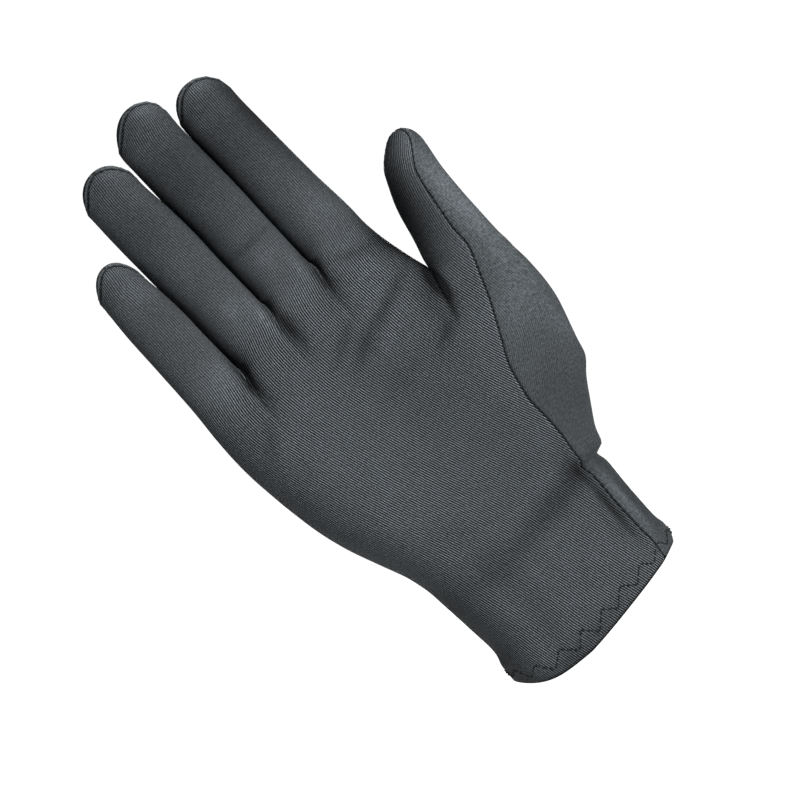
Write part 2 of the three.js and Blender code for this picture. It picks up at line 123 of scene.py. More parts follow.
# at is the height as a share of the palm's length. seam is where the long seam lies across the thumb's
# columns.
PALM_ROWS = table((
    "at", "little", "thumb", "front_little", "front_middle", "front_thumb",
    "back_little", "back_middle", "back_thumb", "edge_little", "edge_thumb", "seam"), (
    (0, 0, 0, 0.9, 1, 0.95, 0.9, 1, 0.95, 0, 0, 0.67),
    (0.066, -0.01, 0, 0.89, 0.99, 0.94, 0.89, 0.99, 0.94, 0, 0, 0.68),
    (0.122, -0.06, -0.04, 0.87, 0.97, 0.92, 0.87, 0.97, 0.91, 0, 0, 0.68),
    (0.193, -0.01, -0.045, 0.86, 0.95, 0.91, 0.85, 0.93, 0.88, 0, 0, 0.66),
    (0.273, 0.06, -0.03, 0.92, 1.01, 0.97, 0.9, 0.98, 0.9, -0.01, -0.02, 0.64),
    (0.2965, 0.08, -0.07, 0.98, 1.07, 1.03, 0.93, 1.02, 0.9, -0.02, -0.03, 0.63),
    (0.3057, 0.09, 0.085, 1.01, 1.1, 1.07, 0.94, 1.03, 0.91, -0.02, -0.04, 0.57),
    (0.339, 0.15, 0.17, 1.12, 1.2, 1.2, 0.99, 1.09, 0.92, -0.04, -0.08, 0.51),
    (0.364, 0.21, 0.27, 1.2, 1.28, 1.32, 1.02, 1.13, 0.93, -0.05, -0.11, 0.47),
    (0.425, 0.41, 0.54, 1.35, 1.35, 1.6, 1, 1.13, 0.86, -0.07, -0.21, 0.35),
    (0.485, 0.6, 0.79, 1.4, 1.34, 1.83, 0.97, 1.12, 0.76, -0.08, -0.3, 0.25),
    (0.548, 0.75, 0.94, 1.38, 1.29, 1.98, 0.94, 1.09, 0.66, -0.1, -0.38, 0.24),
    (0.609, 0.85, 1.05, 1.32, 1.21, 2.03, 0.92, 1.06, 0.56, -0.1, -0.45, 0.3),
    (0.672, 0.93, 1.08, 1.25, 1.13, 1.97, 0.89, 1.03, 0.46, -0.1, -0.5, 0.39),
    (0.746, 1, 1.04, 1.18, 1.07, 1.8, 0.87, 1, 0.36, -0.1, -0.55, 0.5),
    (0.82, 1.02, 1, 1.13, 1.04, 1.5, 0.84, 0.97, 0.4, -0.1, -0.6, 0.61),
    (0.932, 1.01, 1, 1.08, 1.02, 1.1, 0.8, 0.94, 0.7, -0.1, -0.6, 0.61),
    (1, 1.01, 1, 1.06, 1, 1, 0.79, 0.92, 0.8, -0.1, -0.6, 0.61),
))

# drop is how far a web lies below the palm's length; the other lengths are in millimetres.
WEBS = table((
    "drop", "cuff", "groove", "plunge", "valley", "depth", "settle", "slant", "overlap"), (
    (11, 0.2, 34, 9, 0.4, -0.08, 14, 0.3, 54),
    (0, 0.39, 34, 9, 0.4, -0.04, 14, 0.36, 66),
    (0, 0.57, 34, 9, 0.4, 0, 14, 0.36, 66),
    (29, 0.7, 30, 9, 0.25, -0.3, 26, 0, 20),
))

DIGIT_COLUMNS = ("at", "shift", "width", "depth", "bend")
DIGIT_ROWS = {
    "little": table(DIGIT_COLUMNS, (
        (0, 0, 1, 1, -0.1), (0.3, -0.03, 0.955, 1, -0.12), (0.6, -0.055, 0.92, 0.96, -0.18),
        (0.85, -0.06, 0.84, 0.88, -0.27), (1, -0.02, 0.79, 0.8, -0.33))),
    "ring": table(DIGIT_COLUMNS, (
        (0, 0, 1, 1, -0.04), (0.3, -0.06, 1.02, 0.99, -0.05), (0.6, -0.1, 1.05, 0.94, -0.09),
        (0.85, -0.14, 1.02, 0.86, -0.16), (1, -0.12, 1, 0.78, -0.22))),
    "middle": table(DIGIT_COLUMNS, (
        (0, 0, 1, 1, 0), (0.3, -0.03, 1, 0.98, -0.01), (0.6, -0.06, 1.05, 0.93, -0.03),
        (0.85, -0.09, 1.05, 0.86, -0.09), (1, -0.02, 1, 0.78, -0.14))),
    "index": table(DIGIT_COLUMNS, (
        (0, 0, 1, 1, 0.05), (0.3, -0.05, 0.95, 0.97, 0.05), (0.6, -0.09, 0.91, 0.92, 0.03),
        (0.85, -0.12, 0.89, 0.85, -0.02), (1, -0.12, 0.86, 0.78, -0.07))),
    "thumb": table(DIGIT_COLUMNS, (
        (0, 0, 1, 1, -0.6), (0.3, 0.04, 0.9, 0.94, -0.66), (0.55, 0.09, 0.82, 0.88, -0.72),
        (0.8, 0.2, 0.7, 0.78, -0.78), (1, 0.3, 0.56, 0.66, -0.82))),
}

# Soft folds, hollows and fuller places of the cloth, in millimetres: middle, depth, half sizes across and
# along, and turn in degrees. The column after depth is painted light and shade: how much paler the cloth is
# painted where light falls on it, or darker where shade falls.
FOLD_COLUMNS = ("x", "z", "depth", "tone", "across", "along", "turn")
PALM_FOLDS = table(FOLD_COLUMNS, (
    # The hollow of the wrist, the valley beside the long seam and the edge of the cuff, with painted shade in
    # each
    (14, 45.5, 1.2, -0.46, 21, 4, 8), (-20, 42, 0.6, -0.26, 16, 6, -4),
    (26, 50, 0.6, -0.34, 5, 5.5), (28.2, 32, 0.9, -0.7, 1.8, 17), (25, 33, 0, -0.2, 4, 15),
    (-14, 1, 0, -0.35, 26, 4, 4),
    # Stretch folds that run round the thumb's web and up over the palm, with painted shade in their hollows
    # and painted light on their ridges
    (14, 132.5, 0.6, -0.42, 13, 2.1, 22), (-2, 126, 0.5, -0.28, 8, 2.2, 35),
    (16, 138.5, -0.4, 0.14, 12, 2.4, 18), (14, 127, -0.5, 0.16, 13, 2.4, 27),
    (23, 112, 0.6, -0.42, 7.5, 2.1, 28), (31, 118, 0.4, -0.4, 1.8, 5, -18),
    (-5, 132.5, 0.5, -0.3, 9, 2.1, 33), (6, 111, 0.3, -0.12, 12, 3, 14), (12, 95, 0, 0.1, 16, 16),
    (-45, 124, 0.3, -0.2, 7, 2.6, 52), (-44, 116, -0.2, 0.1, 7, 2.6, 52),
    # Valleys below the webs, with painted shade in them
    (33, 126, 0, -0.9, 2.5, 7.5), (-36.2, 143, 1.2, -1.0, 2.6, 10),
    (-14.6, 150, 1.1, -0.95, 2.8, 11), (5.6, 153.5, 0.9, -0.85, 3.4, 8.5),
    (-33, 148, 0, -0.3, 3, 6),
    # Full places over the joints with painted light on them, and the creases between them with painted shade
    (-44, 150, -0.3, 0.42, 5.5, 9), (-25, 166, -0.3, 0.42, 4, 6), (-18.8, 157, 0, 0.6, 1.4, 7),
    (-5, 171, -0.3, 0.34, 5, 5), (-6, 155, -0.2, 0.14, 5, 5), (1.6, 160, 0, 0.4, 1.4, 7),
    (-6, 178.5, 0.3, -0.26, 9, 1.3), (-7, 184, -0.15, 0.14, 7, 2.4), (19, 173, -0.3, 0.36, 5.5, 8),
    (17, 154, 0.4, -0.4, 7, 1.5, -20), (18, 145, -0.3, 0.22, 8, 4),
    (24, 146, 0.2, -0.2, 1.5, 6, 16), (-28, 190, 0.15, 0.14, 4, 6), (-47, 190, 0, 0.16, 5, 6),
    (-8, 197, 0, 0.1, 5, 5), (15, 192, 0, 0.1, 5, 5),
    # Painted shade below the web and at the end of the thumb
    (33.4, 127.8, 0, -0.55, 2.4, 6, 8), (52, 176, 0, -0.5, 5, 5),
))
ROUND_FOLDS = table(FOLD_COLUMNS, (
    # The strip beside the long seam, swelling and painted lighter, and painted shade on the little finger's
    # side of the cuff
    (32.8, 29, -0.5, 0.7, 1.3, 16), (-31, 22, 0, -0.12, 12, 20),
    # Painted shade on the ends of the fingers and inside the thumb
    (15, 212, 0, -0.42, 13, 26), (24, 212, 0, -0.45, 4, 30, 3), (-8, 213, 0, -0.46, 11, 28),
    (-31, 209, 0, -0.34, 10, 24), (-49, 178, 0, -0.1, 9, 22), (40.5, 154, 0, -0.88, 8.5, 24, -22),
    # Painted light on the ends of the fingers
    (15, 232, 0, 0.75, 6, 3.5, -20), (-3, 238, 0, 0.8, 6, 4, -25), (-26, 229, 0, 0.5, 5, 3.5, -25),
    (-47, 203, 0, 0.5, 6, 3.5),
    # Painted light on the outer side of the thumb over its ball, and painted shade lower down towards the
    # cuff
    (57, 138, 0, 0.62, 7, 34), (47, 104, 0, 0.3, 7, 9, -40), (55, 150, 0, 0.2, 3, 14),
    (56, 92, 0, 0.35, 3, 9), (44, 72, 0, -0.14, 10, 14), (36, 30, 0, -0.3, 2, 18),
    # The corner at the thumb's base
    (55, 76, -1, 0, 7, 4),
))
BACK_FOLDS = table(FOLD_COLUMNS, (
    # Full places over the knuckles and finger joints with painted light on them, and the creases above them
    # with painted shade
    *((x, z, depth, 0.1, 6, 7) for x, z, depth in (
        (-46, 148, -0.7), (-28, 156, -0.8), (-7, 158, -0.9), (15, 156, -0.9))),
    *((x, z, -0.4, 0.08, 5, 4) for x, z in ((-46, 176), (-28, 188), (-7, 192), (15, 188))),
    *((x, z, 0.35, -0.14, 8, 2.2) for x, z in ((-46, 157), (-28, 167), (-7, 170), (15, 168))),
    *((x, z, 0.3, -0.12, 8, 2.2) for x, z in ((-46, 171), (-28, 183), (-7, 186.5), (15, 182))),
    # Soft folds of the back and the valleys below the webs, with painted shade in their hollows and painted
    # light on their ridges
    (-4, 50, 0.9, -0.2, 26, 5), (-4, 57, -0.5, 0.12, 26, 4), (12, 132, 0.7, -0.22, 20, 2.2, 24),
    (10, 139, -0.4, 0.12, 18, 2.6, 22), (-22, 114, 0.6, -0.18, 20, 2.6, -22),
    (-22, 107, -0.3, 0.1, 18, 3, -22), (6, 92, 0.5, -0.14, 22, 2.6, 14),
    (28, 108, 0.6, -0.25, 3, 12, -22), (24, 108, -0.4, 0.14, 3, 12, -22),
    (-36, 142, 0.8, -0.4, 2.4, 8), (-15, 150, 0.8, -0.4, 2.6, 8), (5, 152, 0.8, -0.4, 2.8, 8),
))

# Places and lengths in millimetres
CUFF_MIDDLE = 1.3
KNUCKLES_MIDDLE = -14.8
FINGER_GAP = 0.7
WEB_WIDENING = 6.0
THUMB_REACH = 6.4
STEP_HEIGHT = 48.6
SEAM_PITCH = 2.2
SEAM_PARTING = 0.02
ZIGZAG_FOOT = 2.3
COLUMN_BLEND = 26.0
HEM_BLEND = 22.0
ROW_SPACING = 1.25
# How far below the tip a seam begins and ends to turn to the palm side
FINGER_SEAM_RISE = (12.0, 3.0)
THUMB_SEAM_RISE = (16.0, 0.0)
# How far the cuff's edge rises towards the little finger, the thumb and the back
CUFF_RISE = (8.0, 8.5, 7.0)
# In metres
LOOP_RELIEF = 0.00016

# Shares
CUFF_LOWEST = 0.36
SEAM_BEHIND = -0.06
STEP_BELOW_THUMB = (0.2965, 0.3057)
KNIT_LEAN = 0.28

# Counts, and the digit from which the columns of loops are measured
COLUMNS = 30
TIP_ROWS = 12
SOFTENING_ROUNDS = 30
MIDDLE = 2


def mix(a, b, t):
    return a + (b - a) * t


def clamp01(t):
    return np.clip(t, 0.0, 1.0)


def smooth(a, b, t):
    s = clamp01((t - a) / (b - a))
    return s * s * (3 - 2 * s)


def squircle(x, power):
    return np.maximum(0.0, 1 - np.abs(x) ** power) ** (1 / power)


def nearing(web, z, below, above=0.0):
    """0 at a distance below a web, rising to 1 at the web or at a distance above it."""
    return smooth(web["height"] - below, web["height"] + above, z)


def curve(rows, name, t):
    """A column of a table at t, on a smooth curve through its rows that never overshoots them."""
    x = np.array([row["at"] for row in rows], float)
    y = np.array([row[name] for row in rows], float)
    gap = np.diff(x)
    rise = np.diff(y) / gap
    even = (y[2:] - y[:-2]) / (x[2:] - x[:-2])
    limit = np.minimum(np.abs(even), 3 * np.minimum(np.abs(rise[:-1]), np.abs(rise[1:])))
    slope = np.zeros_like(y)
    slope[1:-1] = np.where(rise[:-1] * rise[1:] > 0, np.sign(even) * limit, 0)
    t = np.clip(t, x[0], x[-1])
    i = np.clip(np.searchsorted(x, t, side="right") - 1, 0, len(gap) - 1)
    s = (t - x[i]) / gap[i]
    eased = s * s * (3 - 2 * s)
    bow = gap[i] * s * (1 - s) * ((1 - s) * slope[i] - s * slope[i + 1])
    return mix(y[i], y[i + 1], eased) + bow


class Skin:
    """The glove's outer surface as grids of points in millimetres, two for each digit."""

    def __init__(self, sizes):
        for name in ("cuff_width", "cuff_depth", "palm_length", "palm_depth", "hem_height"):
            setattr(self, name, getattr(sizes, name) / MM)
        full = {"length": sizes.finger_length / MM, "width": sizes.finger_width / MM,
                "depth": sizes.finger_depth / MM, "tip": sizes.tip_length / MM}
        self.digits = [{**row, **{name: row[name] * size for name, size in full.items()}} for row in DIGITS]
        self.webs = [dict(row, height=self.palm_length - row["drop"]) for row in WEBS]
        widths = [digit["width"] for digit in self.digits]
        left = KNUCKLES_MIDDLE - sum(widths[:THUMB]) / 2
        self.knuckles = [left + sum(widths[:k]) for k in range(THUMB + 1)]
        self.index_edge = self.knuckles[THUMB]
        self.knuckles[THUMB] += THUMB_REACH
        self.knuckles.append(self.knuckles[THUMB] + widths[THUMB])
        self.cuff_left = CUFF_MIDDLE - self.cuff_width / 2
        self.cuff_right = CUFF_MIDDLE + self.cuff_width / 2
        self.heights = [web["height"] for web in self.webs]
        self.thumb_web = self.heights[INDEX]
        self.own_from = [max(self.heights[max(k - 1, 0)], self.heights[min(k, INDEX)])
                         for k in range(THUMB + 1)]
        self.digit_from = [self.own_from[0], *[self.palm_length] * INDEX, self.own_from[THUMB]]
        self.digit_to = [low + digit["length"] for low, digit in zip(self.digit_from, self.digits)]
        self.build()

    def palm(self, name, z):
        return curve(PALM_ROWS, name, z / self.palm_length)

    def left_edge(self, z):
        return mix(self.cuff_left, self.knuckles[0], self.palm("little", z))

    def right_edge(self, z):
        return mix(self.cuff_right, self.knuckles[THUMB + 1], self.palm("thumb", z))

    def half_depth(self, z):
        return mix(self.cuff_depth, self.palm_depth, smooth(0.172, 0.354, z / self.palm_length)) / 2

    def web(self, k):
        return self.webs[k] if 0 <= k < len(self.webs) else None

    def parted(self, web, z, share):
        """How far the cloth has parted into two digits: at the line between them and beside it."""
        t = clamp01((z - web["height"] + web["plunge"]) / web["plunge"])
        line = mix(web["valley"] * nearing(web, z, web["groove"]), 1, 1 - np.sqrt(1 - t * t))
        return mix(line, nearing(web, z, web["groove"], web["plunge"]), smooth(0, 0.3, share))

    def bunched(self, web, z):
        return np.ones_like(z) if web is None else nearing(web, z, COLUMN_BLEND)

    def web_line(self, k, z):
        rise = z / self.heights[k]
        spread = rise * rise if k == INDEX else self.palm("little", z)
        low = self.cuff_left + self.webs[k]["cuff"] * self.cuff_width
        return mix(low, self.knuckles[k + 1], np.minimum(1, spread))

    def digit_section(self, k, z):
        d = self.digits[k]
        rows = DIGIT_ROWS[d["name"]]
        t = clamp01((z - self.digit_from[k]) / d["length"])
        cap = squircle(clamp01((z - self.digit_to[k] + d["tip"]) / d["tip"]), 2.2)
        middle = self.knuckles[k] + d["width"] * (0.5 + curve(rows, "shift", t))
        half = cap * d["width"] * curve(rows, "width", t) / 2
        return dict(
            left=middle - half, right=middle + half, y=self.palm_depth * curve(rows, "bend", t),
            depth=cap * d["depth"] * curve(rows, "depth", t) / 2,
            power=mix(2.7, 2.15, smooth(0.3, 0.9, t)))

    def sides(self, k, z, own):
        def beside(i, mine, sign):
            height = self.heights[i]
            apart = clamp01((z - height) / WEB_WIDENING)
            free = mix(self.knuckles[i + 1], mine + sign * FINGER_GAP / 2, apart)
            return np.where(z <= height, self.web_line(i, z), free)

        if k == 0:
            web = self.webs[0]
            left = mix(self.left_edge(z), own["left"], nearing(web, z, web["settle"]))
        else:
            left = beside(k - 1, own["left"], 1)
        if k == THUMB:
            return left, np.where(z < self.thumb_web, self.right_edge(z), own["right"])
        right = beside(k, own["right"], -1)
        if k == INDEX:
            t = clamp01((z - self.thumb_web) / (self.palm_length - self.thumb_web))
            free = np.where(z < self.palm_length, self.index_edge, own["right"])
            right = np.where(z > self.thumb_web, free + THUMB_REACH * (1 - t) ** 1.5, right)
        return left, right

    def across(self, tau, free_left, free_right):
        quarter = np.pi / 2 * tau
        return ((1 - free_left) * (1 - free_right) * tau
                + free_left * (1 - free_right) * (1 - np.cos(quarter))
                + (1 - free_left) * free_right * np.sin(quarter)
                + free_left * free_right * (1 - np.cos(2 * quarter)) / 2)

    def palm_skin(self, k, u, z, front):
        def at(place):
            sign, face = (-1, "front_") if front else (1, "back_")
            return sign * self.palm(face + place, z) * self.half_depth(z)

        if k == 0:
            return mix(self.palm_depth * self.palm("edge_little", z), at("little"), squircle(1 - u, 2.1))
        ball = mix(at("middle"), at("thumb"), smooth(2.2, 4.5, k + u))
        if k == THUMB:
            return mix(self.palm_depth * self.palm("edge_thumb", z), ball, squircle(u, 2.1))
        if k > 1:
            return ball
        return mix(at("little"), at("middle"), smooth(0, 1, u))

    def side_depth(self, k, web, z, own):
        if web is not None:
            return mix(self.palm_depth * web["depth"], own["y"], nearing(web, z, 0, web["settle"]))
        if k == THUMB:
            return np.where(z < self.thumb_web, self.palm_depth * self.palm("edge_thumb", z), own["y"])
        low = self.palm_depth * self.palm("edge_little", z)
        return mix(low, own["y"], smooth(0.8, 1, z / self.heights[0]))

    def slant_at(self, web, z):
        if web is None:
            return np.zeros_like(z)
        begins = nearing(web, z, web["groove"] / 2, WEB_WIDENING)
        ends = nearing(web, z, -0.4 * web["overlap"], web["overlap"])
        return web["slant"] * begins * (1 - ends)

    def side_points(self, k, tau, front, z):
        """Points of one side, front or back, of digit k and of the palm below it."""
        web_left, web_right = self.web(k - 1), self.web(k)
        turned = (tau < 0) | (tau > 1)
        folded = np.where(tau > 1, 2 - tau, np.abs(tau))
        u = clamp01(self.across(folded, self.bunched(web_left, z), self.bunched(web_right, z)))
        own = self.digit_section(k, z)
        left, right = self.sides(k, z, own)
        open_left = self.parted(web_left or web_right, z, u if web_left else 1 - u)
        open_right = self.parted(web_right or web_left, z, 1 - u if web_right else u)
        middle = mix(self.side_depth(k, web_left, z, own), self.side_depth(k, web_right, z, own), u)
        sign = np.where(turned, 1.0, -1.0) * (1 if front else -1)
        flat = np.where(sign < 0, self.palm_skin(k, u, z, True), self.palm_skin(k, u, z, False))
        round_form = middle + sign * own["depth"] * squircle(2 * u - 1, own["power"])
        y = mix(flat, round_form, mix(open_left, open_right, smooth(0, 1, u)))
        slant = mix(self.slant_at(web_left, z), self.slant_at(web_right, z), u)
        digit, top = self.digits[k], self.digit_to[k]
        lean = digit["lean"] * smooth(top - 2 * digit["tip"], top, z)
        return np.stack([mix(left, right, u) - slant * y, y, z + lean * (y - own["y"])], -1)

    def seam_shift(self, k, z, on_right):
        """tau on the front where the palm panel meets the back panel on a free side of digit k."""
        digit, top = self.digits[k], self.digit_to[k]
        low, high = THUMB_SEAM_RISE if k == THUMB else FINGER_SEAM_RISE
        rise = smooth(top - low, top - high, z)
        if k < THUMB and on_right:
            return mix(1, digit["seam_right"], rise)
        if not on_right:
            return mix(0 if k else SEAM_BEHIND, digit["seam_left"], rise)
        web = self.thumb_web
        share = mix(self.palm("seam", np.minimum(z, web)), digit["seam_right"], rise)
        dip = 0.04 * smooth(web - 6, web + 14, z) + 0.03 * np.exp(-((z - web - 4) / 8) ** 2)
        share = share - dip * (1 - rise)
        free_left = self.bunched(self.webs[INDEX], z)
        low, high = np.zeros_like(z), np.ones_like(z)
        for _ in range(24):
            tau = (low + high) / 2
            under = self.across(tau, free_left, 1.0) < share
            low, high = np.where(under, tau, low), np.where(under, high, tau)
        return low

    def shared_rows(self):
        step = [self.palm_length * share for share in STEP_BELOW_THUMB]
        rows = [0.0]
        for stop in sorted({self.hem_height, *step, *self.heights}):
            rows.extend(even_rows(rows[-1], stop))
        return np.array(rows)

    def digit_rows(self, k, shared):
        start, end, tip = self.own_from[k], self.digit_to[k], self.digits[k]["tip"]
        rows = list(shared[shared <= start + 1e-9])
        rows.extend(even_rows(start, end - tip))
        turn = np.sin(np.pi / 2 * np.arange(1, TIP_ROWS + 1) / TIP_ROWS)
        rows.extend(end - tip + tip * turn)
        return np.array(rows)

    def build(self):
        """Fills the grids: for each digit and side the numbers of its points, and all points."""
        shared = self.shared_rows()
        share = np.arange(COLUMNS + 1) / COLUMNS
        share = share - 0.1 * np.sin(2 * np.pi * share)
        self.grids = []
        blocks, count = [], 0
        for k in range(THUMB + 1):
            z = self.digit_rows(k, shared)
            free_left = z > (self.heights[k - 1] + 1e-9 if k else -1)
            free_right = z > (self.heights[k] + 1e-9 if k < THUMB else -1)
            left = np.where(free_left, self.seam_shift(k, z, False), 0.0)[:, None]
            right = np.where(free_right, self.seam_shift(k, z, True), 1.0)[:, None]
            zz = np.repeat(z[:, None], COLUMNS + 1, 1)
            taus = mix(left, right, share), mix(-left, 2 - right, share)
            blocks += [self.side_points(k, tau, front, zz).reshape(-1, 3)
                       for tau, front in zip(taus, (True, False))]
            ids_front = count + np.arange(zz.size).reshape(zz.shape)
            ids_back = ids_front + zz.size
            count += 2 * zz.size
            closed_right = free_right if k == THUMB else z >= self.heights[k] - 1e-9
            ids_back[closed_right, -1] = ids_front[closed_right, -1]
            if k:
                shared_count = np.count_nonzero(~free_left)
                ids_front[:shared_count, 0] = self.grids[-1]["front"][:shared_count, -1]
                ids_back[:shared_count, 0] = self.grids[-1]["back"][:shared_count, -1]
            ids_back[free_left, 0] = ids_front[free_left, 0]
            ids_front[-1, :] = ids_front[-1, 0]
            ids_back[-1, :] = ids_front[-1, 0]
            self.grids.append(dict(front=ids_front, back=ids_back, free_left=free_left,
                                   free_right=free_right, z=z, front_tau=taus[0], back_tau=taus[1]))
        self.points = np.concatenate(blocks)
        self.faces = {side: self.side_faces(side) for side in ("front", "back")}
        self.soften()
        self.press_folds()
        self.lift_hem()
        self.seams()

    def side_faces(self, side):
        """Loops of four point numbers; the last row closes on one point."""
        loops = []
        for grid in self.grids:
            ids = grid[side]
            quads = np.stack([ids[:-1, :-1], ids[:-1, 1:], ids[1:, 1:], ids[1:, :-1]], -1).reshape(-1, 4)
            loops.append(quads if side == "front" else quads[:, ::-1])
        return np.concatenate(loops)

    def normals(self):
        faces = np.concatenate([self.faces["front"], self.faces["back"]])
        p = self.points[faces]
        n = np.cross(p[:, 2] - p[:, 0], p[:, 3] - p[:, 1])
        out = np.zeros_like(self.points)
        for corner in range(4):
            np.add.at(out, faces[:, corner], n)
        return out / np.maximum(np.linalg.norm(out, axis=1, keepdims=True), 1e-12)

    def edges(self):
        faces = np.concatenate([self.faces["front"], self.faces["back"]])
        pairs = np.concatenate([faces[:, [i, (i + 1) % 4]] for i in range(4)])
        pairs = np.sort(pairs[pairs[:, 0] != pairs[:, 1]], axis=1)
        return np.unique(pairs, axis=0)

    def soften(self):
        """Evens out small kinks where the forms of palm and digits meet, without shrinking them."""
        one, other = self.edges().T
        count = len(self.points)
        degree = np.bincount(np.concatenate([one, other]), minlength=count)
        x, z = self.points[:, 0], self.points[:, 2]
        step = np.exp(-((z - STEP_HEIGHT) / 3.5) ** 2) * smooth(24, 32, x)
        weight = (1 - step) * smooth(0, 3, z)
        weight[degree == 0] = 0
        for _ in range(SOFTENING_ROUNDS):
            normal = self.normals()
            for strength in (0.55, -0.57):
                total = np.stack([np.bincount(one, p[other], count) + np.bincount(other, p[one], count)
                                  for p in self.points.T], -1)
                pull = total / np.maximum(degree, 1)[:, None] - self.points
                along = np.sum(pull * normal, 1, keepdims=True) * normal
                self.points += strength * weight[:, None] * along

    def press_folds(self):
        """Presses the folds in, each on its own side of the glove, and adds up their painted light and shade.
        """
        normal = self.normals()
        x, _, z = self.points.T
        depth, self.tone = np.zeros(len(x)), np.zeros(len(x))
        for folds, side in ((PALM_FOLDS, -1), (ROUND_FOLDS, 0), (BACK_FOLDS, 1)):
            facing = smooth(-0.1, 0.4, normal[:, 1] * side) if side else 1.0
            for fold in folds:
                turn = math.radians(fold["turn"])
                dx, dz = x - fold["x"], z - fold["z"]
                a = (dx * math.cos(turn) + dz * math.sin(turn)) / fold["across"]
                b = (dz * math.cos(turn) - dx * math.sin(turn)) / fold["along"]
                form = np.exp(-a * a - b * b) * facing
                depth += fold["depth"] * form
                self.tone += fold["tone"] * form
        self.points -= depth[:, None] * normal

    def lift_hem(self):
        """Raises the cuff's edge from its lowest place and tucks in its corner on the thumb side."""
        x, y, z = self.points.T.copy()
        lowest = mix(self.cuff_left, self.cuff_right, CUFF_LOWEST)
        to_little, to_thumb, to_back = CUFF_RISE
        little = to_little * clamp01((x - lowest) / (self.cuff_left - lowest)) ** 3.4
        thumb = to_thumb * clamp01((x - lowest) / (self.cuff_right - lowest)) ** 1.2
        rise = mix(little + thumb, to_back, smooth(-0.1, 0.4, y / self.cuff_depth))
        self.points[:, 2] += rise * (1 - smooth(0, HEM_BLEND, z))
        reach = 2 * (x - CUFF_MIDDLE) / self.cuff_width
        tuck = 1.5 * smooth(0.72, 1, reach) * clamp01(1 - z / 5.5) ** 2
        self.points[:, 0] -= tuck

    def seams(self):
        """For each grid, in millimetres: distance from its seams, length along them and the cloth's own
        measures, across and along its columns of loops."""
        columns = np.arange(COLUMNS + 1)
        for side in ("front", "back"):
            for k in (MIDDLE, 1, 0, INDEX, THUMB):
                grid = self.grids[k]
                z = grid["z"]
                points = self.points[grid[side]]
                arc, climb = run(points, 1), run(points, 0)
                middle = [COLUMNS / 2 if k == THUMB else np.interp(0.5, taus, columns)
                          for taus in grid[side + "_tau"]]
                centre = [np.interp(m, columns, row) for m, row in zip(middle, arc)]
                across = arc - np.array(centre)[:, None]
                if k != MIDDLE:
                    nearer, mine, theirs = (k + 1, -1, 0) if k < MIDDLE else (k - 1, 0, -1)
                    web = self.heights[min(k, nearer)]
                    joined = np.count_nonzero(z <= web + 1e-9)
                    shift = self.grids[nearer][side + "_across"][:joined, theirs] - across[:joined, mine]
                    level = web - 11
                    held, below = np.interp([level, level - 4], z[:joined], shift)
                    eased = held + 2 * (held - below) * (1 - np.exp(-np.maximum(0, z - level) / 8))
                    shift = np.where(z < level, np.pad(shift, (0, len(z) - joined)), eased)
                    across = across + shift[:, None]
                low_left = np.maximum(0, self.heights[k - 1] - z) if k else 0 * z
                low_right = np.maximum(0, self.heights[k] - z) if k < THUMB else 0 * z
                left = np.hypot(arc, low_left[:, None])
                right = np.hypot(arc[:, -1:] - arc, low_right[:, None])
                grid[side + "_across"] = across
                grid[side + "_climb"] = climb
                grid[side + "_seam"] = np.minimum(left, right)
                grid[side + "_along"] = np.where(left <= right, climb[:, :1], climb[:, -1:])
                grid[side + "_right"] = left > right
                grid[side + "_left"] = left

    def panel(self, side):
        """Points, loops and measures of one panel, the measures with its painted light and shade. Its edges
        roll in to the seams.
        """
        back = side == "back"
        normal = self.normals()
        points = self.points.copy()
        cloth = np.zeros_like(points)
        seam = np.zeros_like(points)
        for k, grid in enumerate(self.grids):
            ids, distance, along = grid[side], grid[side + "_seam"], grid[side + "_along"]
            z = grid["z"][:, None] + 0 * distance
            near_tip = smooth(self.digit_to[k] - 16, self.digit_to[k] - 6, z) * (0.3 if k == THUMB else 1)
            crimp = np.sin(2 * np.pi * along / SEAM_PITCH + k) * near_tip
            ridge = 0.1 + (0.3 if back else 0.12) * near_tip + 0.14 * crimp
            if k == THUMB:
                cuff_ridge = smooth(4, 12, z) * (1 - smooth(36, 52, z)) * grid[side + "_right"]
                ridge = ridge + (0.5 if back else 0.05) * cuff_ridge
            sink = (0.34 + 0.1 * near_tip) * np.exp(-(distance / 0.5) ** 2)
            sink = sink - ridge * np.exp(-((distance - 1.25) / 0.75) ** 2)
            moved = self.points[ids] - sink[..., None] * normal[ids]
            for column, inner, free in ((0, 1, grid["free_left"]), (-1, -2, grid["free_right"])):
                step = self.points[ids[:, inner]] - self.points[ids[:, column]]
                step /= np.maximum(np.linalg.norm(step, axis=1, keepdims=True), 1e-9)
                moved[free, column] += SEAM_PARTING * step[free]
            moved[-1] = moved[-1].mean(0)
            points[ids] = moved
            lean = 1 - smooth(105, 165, grid["z"])
            skew = np.concatenate([[0], np.cumsum(np.diff(grid["z"]) * (lean[1:] + lean[:-1]) / 2)])
            # Painted light and shade of the folds, less the painted shade in the clefts between the fingers
            tone = self.tone[ids] - self.painted_cleft_shade(k, grid[side + "_left"], z)
            # On the back near the tips: painted shade beside the seam and a painted highlight along its ridge
            if back:
                tone = tone - near_tip * (0.7 * np.exp(-(distance / 4) ** 2)
                                          - 1.5 * np.exp(-((distance - 1.1) / 0.4) ** 2))
            across = grid[side + "_across"] + (0 if back else KNIT_LEAN) * skew[:, None]
            # The cloth measure holds the knit's measures across and along and the painted light and shade
            cloth[ids] = np.stack([across, grid[side + "_climb"], tone], -1)
            seam[ids] = np.stack([distance, along, self.slack(k, z)], -1)
        loops = self.faces[side]
        used, numbered = np.unique(loops, return_inverse=True)
        return dict(points=points[used], loops=numbered.reshape(loops.shape), cloth=cloth[used],
                    seam=seam[used])

